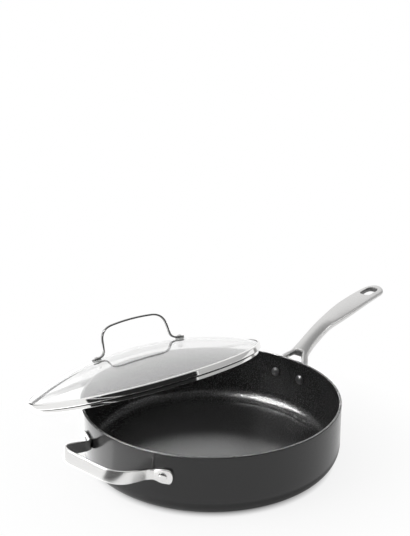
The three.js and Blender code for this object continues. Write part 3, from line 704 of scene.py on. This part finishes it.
def make_band():
    """Rolled band that holds the glass, with a skirt and painted shade in the recessed seam below its hem.
    """
    skirt_inner = skirt_radius - BAND_SHEET
    groove_radius = band_radius - BAND_SHEET
    lip = glass_radius - BAND_LIP
    hem = on_glass(glass_radius) + GAP
    corners = [
        (skirt_inner, 0),
        (skirt_radius, 0),
        (skirt_radius, skirt_depth - BAND_SEAM),
        (skirt_radius - BAND_SHEET / 2, skirt_depth - BAND_SEAM),
        (skirt_radius - BAND_SHEET / 2, skirt_depth),
        (band_radius, skirt_depth),
        (band_radius, hem + BAND_SHEET * 0.6),
        (lip, on_glass(lip) + GAP + BAND_SHEET),
        (lip, on_glass(lip) + GAP),
        (groove_radius, hem),
        (groove_radius, skirt_depth + BAND_SHEET),
        (skirt_inner, on_glass(skirt_inner, glass_thickness) - GAP),
    ]
    points, faces, rows = turned(soft(corners, BAND_ROUND, BAND_STEPS), LID_TURNS, closed=True)
    # Faces of the recess below the hem, which get the painted shade
    seam_shade_rows = range(2 * BAND_STEPS + 3, 4 * BAND_STEPS + 4)
    indices = [1 if i in seam_shade_rows else 0 for i in rows]
    points = moved(points, LID)
    return make("lid_band", points, faces, [POLISHED, SEAM_PAINTED_SHADE], "lid", ["lid_rim"], indices)


def foot_frame(side):
    """Frame of one screw: Z up its axis, origin on the upper face of the glass."""
    screw = moved(cad(f"lid_screw_{side}"), LID.inverted()).mean(0)
    lean = math.atan2(abs(screw[0]), screw[2] - dome_middle)
    spread = math.copysign(dome_radius * math.sin(lean), screw[0])
    tilt = Matrix.Rotation(math.asin(spread / dome_radius), 4, "Y")
    return LID @ Matrix.Translation((spread, 0, on_glass(abs(spread)))) @ tilt


FEET = {side: foot_frame(side) for side in ("left", "right")}


def make_lid_handle():
    """Arched strap with two round feet on the glass."""
    washer_top = local("lid_washer_left", FEET["left"])[1].max()
    level = washer_top + GAP + LID_STRAP / 2
    to_lid = {side: LID.inverted() @ FEET[side] for side in FEET}

    def on_foot(side, along):
        """Place along the middle of a foot, in the lid's frame."""
        return np.array(to_lid[side] @ Vector((along, 0, level)))

    spread = abs((LID.inverted() @ FEET["left"].translation).x)
    crown = on_foot("left", 0)[2] + LID_HANDLE_RISE
    shoulder = spread - LID_HEEL_INSET - LID_LEG_LEAN
    corners = [
        on_foot("left", LID_FOOT / 2),
        on_foot("left", -LID_HEEL_INSET),
        np.array([shoulder, 0, crown - LID_SHOULDER_DROP]),
        np.array([0, 0, crown]),
        np.array([-shoulder, 0, crown - LID_SHOULDER_DROP]),
        on_foot("right", LID_HEEL_INSET),
        on_foot("right", -LID_FOOT / 2),
    ]
    rounds = [LID_HEEL_ROUND, LID_SHOULDER_ROUND, LID_CROWN_ROUND, LID_SHOULDER_ROUND, LID_HEEL_ROUND]
    path, at, total = even_path(rounded_path(corners, rounds), PATH_STEP)
    end = np.minimum(at, total - at)
    wide = round_end(end, LID_FOOT / 2, LID_FOOT)
    wide = mix(wide, LID_STRAP_WIDTH, ease((end - LID_FOOT) / LID_FOOT))
    across = np.tile([0.0, 1.0, 0.0], (len(path), 1))
    points, faces = strap(path, wide, LID_STRAP, across)
    return make("lid_arch", moved(points, LID), faces, [LID_SATIN], "lid", ["lid_handle"])


def make_ring(node, matrix, material, name):
    """Ring with rounded edges in place of a CAD ring."""
    radii, heights = local(node, matrix)
    low, high = heights.min(), heights.max()
    near, far = radii.min(), radii.max()
    profile = soft([(near, low), (far, low), (far, high), (near, high)], RING_ROUND)
    points, faces, _ = turned(profile, SMALL_TURNS, closed=True)
    return make(name, moved(points, matrix), faces, [material], "lid", [node])


def make_fastening(side):
    """Seal, disc, bush, bolt and cap nut of one foot."""
    matrix = FEET[side]
    make_ring(f"lid_washer_{side}", matrix, SILICONE, f"lid_seal_{side}")
    make_ring(f"lid_plate_{side}", matrix, POLISHED, f"lid_disc_{side}")
    radii, heights = local(f"lid_sleeve_{side}", matrix)
    low, flange, top = levels(heights)[[0, 1, -1]]
    bore, far = radii.min(), radii.max()
    body = radii[heights > top - GAP].max()
    corners = [(bore, low), (far, low), (far, flange), (body, flange), (body, top), (bore, top)]
    points, faces, _ = turned(soft(corners, RING_ROUND), SMALL_TURNS, closed=True)
    points = moved(points, matrix)
    make(f"lid_bush_{side}", points, faces, [SILICONE], "lid", [f"lid_sleeve_{side}"])
    radii, heights = local(f"lid_screw_{side}", matrix)
    marks = levels(heights)
    shank = radii[heights < marks[0] + GAP].max()
    head, seat = radii.max(), heights[radii > radii.max() - GAP].min()
    profile = [(0, marks[0]), (shank, marks[0]), (shank, seat)] + dome(head, seat, marks[-1] - seat)
    points, faces, _ = turned(profile, SMALL_TURNS)
    points = moved(points, matrix)
    make(f"lid_bolt_{side}", points, faces, [POLISHED], "lid", [f"lid_screw_{side}"])
    radii, heights = local(f"lid_nut_{side}", matrix)
    make_nut(side, matrix, radii.max(), heights.min(), heights.max())


def make_nut(side, matrix, radius, low, high):
    """Hexagonal cap nut with chamfered corners and a domed end."""
    around = np.linspace(0, 2 * math.pi, NUT_TURNS, endpoint=False)
    flat = radius * math.cos(math.pi / 6)
    six = flat / np.cos((around + math.pi / 6) % (math.pi / 3) - math.pi / 6)
    cap = low + CAP_RISE * (high - low)
    cut = np.minimum(six, mix(flat, radius, NUT_CORNERS))
    rings = [np.minimum(six, flat), cut, cut, np.minimum(six, flat * CAP_SEAT)]
    heights = [high, high - NUT_CHAMFER, cap + NUT_CHAMFER, cap]
    for angle in np.linspace(0, math.pi / 2, CAP_STEPS + 1)[:-1]:
        rings.append(np.full_like(around, flat * CAP_DOME * math.cos(angle)))
        heights.append(cap + (low - cap) * math.sin(angle))
    points = []
    for ring, z in zip(rings, heights):
        points += [(r * math.cos(a), r * math.sin(a), z) for r, a in zip(ring, around)]
    faces = tube(len(rings), len(around))
    points = moved(points, matrix)
    make(f"lid_cap_{side}", points, faces, [POLISHED], "lid", [f"lid_nut_{side}"], bend=25)


make_glass()
make_band()
make_lid_handle()
for side in FEET:
    make_fastening(side)

# Studio

AHEAD = Vector((CAMERA_AIM.x, CAMERA_AIM.y, 0)).normalized()
RIGHT = Vector((AHEAD.y, -AHEAD.x, 0))
UP = Vector((0, 0, 1))
MIDDLE = Vector((0, 0, HEIGHT / 2))
FLOOR_HALF = 40
FLOOR_TONE = 0.92
FLOOR_WHITE = 0.86
MIRROR_SHADOW = 0.025
SHADOW_INSIDE = 0.019
SHADOW_OUTSIDE = -0.005
WORLD_FILL = 0.45
CEILING_GLOW = 0.35
CEILING_LOW = math.radians(48)
CEILING_HIGH = math.radians(68)
CARD_LIFT = 0.001
FARTHEST = 100

# Lamps: turn and rise in degrees with the distance, then width and height, then the brightness of the face
RIGHT_LIGHT = ((105, 28, 1.4), (0.8, 0.5), 1.15)
KEY_LIGHT = ((-106, 33, 1.3), (1.2, 0.5), 6.0)
FILLET_STRIP = ((-92, 56, 1.25), (1.08, 0.7), 40.0)
FLOOR_SHEEN = ((0, 22, 1.6), (1.2, 0.5), 3.3)

# Dark flag on the camera's side, on the floor and upright, with its turns in degrees
FLAG_NEAR = 0.42
FLAG_AWAY = 1.9
FLAG_TURNS = (126, 234)
FLAG_COLUMNS = 25
FLAG_HEIGHT = 1.7
FLAG_GLOW = 0.02

# Cards on the floor: both ends ahead of the pan's axis, both ends to the right of it, and brightness
FLOOR_CARDS = {
    "side_card": ((-0.1, 0.3), (-0.16, -0.28), 2.6),
    "front_side_card": ((-0.26, -0.1), (-0.16, -0.28), 1.9),
    "left_dim": ((0.1, 0.7), (-0.32, -0.8), 0.12),
}

# Upright cards: distance, low and high edge, turns in degrees, columns and brightness
UPRIGHT_CARDS = {
    "right_wall_dim": (1.2, (0.02, 2.5), (40, 125), 19, 0.5),
    "right_dim": (1.5, (0.05, 1.2), (26, 55), 9, 0.75),
}


def studio_mask(tree):
    """1 for rays that show the background: from the camera, a mirror or glass."""
    path = add(tree, "ShaderNodeLightPath").outputs
    some = reckon(tree, "MAXIMUM", path["Is Camera Ray"], path["Is Glossy Ray"])
    return reckon(tree, "MAXIMUM", some, path["Is Transmission Ray"])


def make_floor():
    """White floor: plain near the pan, where its shadow lies, and background white farther out."""
    mesh = bpy.data.meshes.new("floor")
    corners = [(x * FLOOR_HALF, y * FLOOR_HALF, 0) for x, y in ((-1, -1), (1, -1), (1, 1), (-1, 1))]
    mesh.from_pydata(corners, [], [(0, 1, 2, 3)])
    made = bpy.data.objects.new("floor", mesh)
    bpy.context.scene.collection.objects.link(made)
    material = bpy.data.materials.new("white_floor")
    material.use_nodes = True
    tree = material.node_tree
    plain = add(tree, "ShaderNodeBsdfDiffuse", {"Color": (*grey(FLOOR_TONE), 1)}).outputs[0]
    white = add(tree, "ShaderNodeEmission", {"Color": (1, 1, 1, 1), "Strength": 1.0}).outputs[0]
    place = add(tree, "ShaderNodeTexCoord").outputs["Object"]
    away = add(tree, "ShaderNodeVectorMath", {0: place}, operation="LENGTH").outputs["Value"]
    camera = add(tree, "ShaderNodeLightPath").outputs["Is Camera Ray"]
    back = ranged(tree, camera, MIRROR_SHADOW, 0.0)
    away = reckon(tree, "SUBTRACT", away, back)
    near = ranged(tree, away, 0.0, FLOOR_WHITE, RADIUS - SHADOW_INSIDE, RADIUS + SHADOW_OUTSIDE)
    far = ranged(tree, away, 0.0, 1 - FLOOR_WHITE, RADIUS + SHADOW_OUTSIDE, 2 * RADIUS)
    share = reckon(tree, "MULTIPLY", studio_mask(tree), reckon(tree, "ADD", near, far))
    both = add(tree, "ShaderNodeMixShader", {0: share, 1: plain, 2: white}).outputs[0]
    tree.links.new(both, tree.nodes["Material Output"].inputs["Surface"])
    mesh.materials.append(material)


def make_card(name, points, strength):
    """Studio card that only mirrors see."""
    mesh = bpy.data.meshes.new(name)
    half = len(points) // 2
    mesh.from_pydata(points, [], [(k, k + 1, half + k + 1, half + k) for k in range(half - 1)])
    made = bpy.data.objects.new(name, mesh)
    bpy.context.scene.collection.objects.link(made)
    material = bpy.data.materials.new(name)
    material.use_nodes = True
    tree = material.node_tree
    glow = add(tree, "ShaderNodeEmission", {"Color": (1, 1, 1, 1), "Strength": strength}).outputs[0]
    tree.links.new(glow, tree.nodes["Material Output"].inputs["Surface"])
    mesh.materials.append(material)
    for kind in ("camera", "diffuse", "transmission", "shadow", "volume_scatter"):
        setattr(made, "visible_" + kind, False)


def floor_card(name, ahead, right, strength):
    """Card that lies on the floor."""
    make_card(name, [a * AHEAD + r * RIGHT + CARD_LIFT * UP for r in right for a in ahead], strength)


def upright_card(name, distance, rises, turns, columns, strength):
    """Card that stands in an arc round the pan."""
    feet = [toward(turn, 0, distance) for turn in np.linspace(*turns, columns)]
    make_card(name, [foot + rise * UP for rise in rises for foot in feet], strength)


def make_world():
    """White room with a dimmer ceiling, for mirrors, and an even fill for everything else."""
    world = bpy.data.worlds.new("studio")
    bpy.context.scene.world = world
    world.use_nodes = True
    tree = world.node_tree
    place = add(tree, "ShaderNodeTexCoord").outputs["Generated"]
    rise = add(tree, "ShaderNodeSeparateXYZ", {"Vector": place}).outputs["Z"]
    seen = ranged(tree, rise, 1.0, CEILING_GLOW, math.sin(CEILING_LOW), math.sin(CEILING_HIGH))
    strength = add(tree, "ShaderNodeMix", {0: studio_mask(tree), 2: WORLD_FILL, 3: seen}).outputs[0]
    back = tree.nodes["Background"]
    back.inputs["Color"].default_value = (1, 1, 1, 1)
    tree.links.new(strength, back.inputs["Strength"])


def toward(turn, rise, distance):
    """Place at a turn to the right of straight ahead and a rise above the floor, in degrees."""
    turn, rise = math.radians(turn), math.radians(rise)
    flat = math.cos(turn) * AHEAD + math.sin(turn) * RIGHT
    return MIDDLE + distance * (math.cos(rise) * flat + math.sin(rise) * UP)


def make_lamp(name, spot, size, glow, gloss_on=None):
    """Soft lamp aimed at the pan. It may be only a highlight on some pieces."""
    place = toward(*spot)
    data = bpy.data.lights.new(name, "AREA")
    data.shape = "RECTANGLE"
    data.size, data.size_y = size
    data.energy = glow * math.pi * size[0] * size[1]
    data.cycles.use_multiple_importance_sampling = False
    made = bpy.data.objects.new(name, data)
    made.location = place
    made.rotation_mode = "QUATERNION"
    made.rotation_quaternion = (MIDDLE - place).to_track_quat("-Z", "Y")
    made.visible_camera = False
    bpy.context.scene.collection.objects.link(made)
    if gloss_on:
        made.visible_diffuse = False
        made.light_linking.receiver_collection = bpy.data.collections.new(name + "_receivers")
        for piece in gloss_on:
            made.light_linking.receiver_collection.objects.link(piece)


def make_camera():
    """Camera at the photograph's angle."""
    data = bpy.data.cameras.new("camera")
    data.sensor_width = SENSOR
    data.lens = SENSOR * FOCAL_PIXELS / max(IMAGE_SIZE)
    data.clip_end = FARTHEST
    made = bpy.data.objects.new("camera", data)
    made.location = CAMERA_PLACE
    made.rotation_mode = "QUATERNION"
    made.rotation_quaternion = CAMERA_AIM.to_track_quat("-Z", "Y")
    bpy.context.scene.collection.objects.link(made)
    bpy.context.scene.camera = made


make_floor()
make_world()
make_camera()
flag_turns = np.linspace(*FLAG_TURNS, FLAG_COLUMNS)
flag = [toward(turn, 0, away) for away in (FLAG_NEAR, FLAG_AWAY) for turn in flag_turns]
make_card("camera_side_floor", [Vector((p.x, p.y, CARD_LIFT)) for p in flag], FLAG_GLOW)
upright_card("camera_side_flag", FLAG_AWAY, (0, FLAG_HEIGHT), FLAG_TURNS, FLAG_COLUMNS, FLAG_GLOW)
make_lamp("right_light", *RIGHT_LIGHT)
make_lamp("key_light", *KEY_LIGHT)
make_lamp("fillet_strip", *FILLET_STRIP, gloss_on=dark_pieces)
make_lamp("floor_sheen", *FLOOR_SHEEN, gloss_on=[pan_piece])
for name, card in FLOOR_CARDS.items():
    floor_card(name, *card)
for name, card in UPRIGHT_CARDS.items():
    upright_card(name, *card)

bpy.context.scene.view_settings.view_transform = "Standard"
